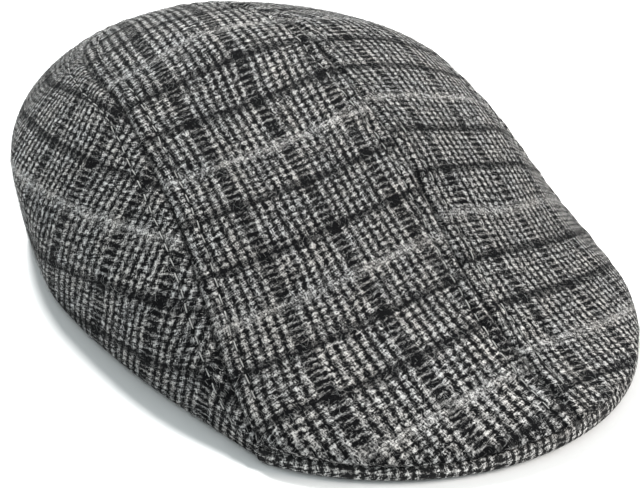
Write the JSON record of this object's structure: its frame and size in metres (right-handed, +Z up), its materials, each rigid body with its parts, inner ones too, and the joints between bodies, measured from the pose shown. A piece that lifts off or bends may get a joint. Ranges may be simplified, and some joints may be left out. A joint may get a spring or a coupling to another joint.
{
  "type": "checkered flat cap",
  "caption": "Soft duckbill flat cap in woven check cloth: low rounded crown of two top and two side panels, sewn down to a short curved peak.",
  "frame": {"origin": "middle of the bounding box, on the surface that the cap lies on", "axes": "+Z up, the peak points to -Y, the wearer's left is +X"},
  "size_m": [0.1924, 0.2625, 0.0889],
  "materials": {
    "check_cloth": "fuzzy wool check in near-black, mid grey and off-white",
    "peak_cloth": "the same wool check, wrapped round the peak's board"
  },
  "bodies": {
    "root": {"top_panel_right": "check_cloth", "top_panel_left": "check_cloth", "side_panel_right": "check_cloth", "side_panel_left": "check_cloth", "peak": "peak_cloth"}
  },
  "joints": []
}
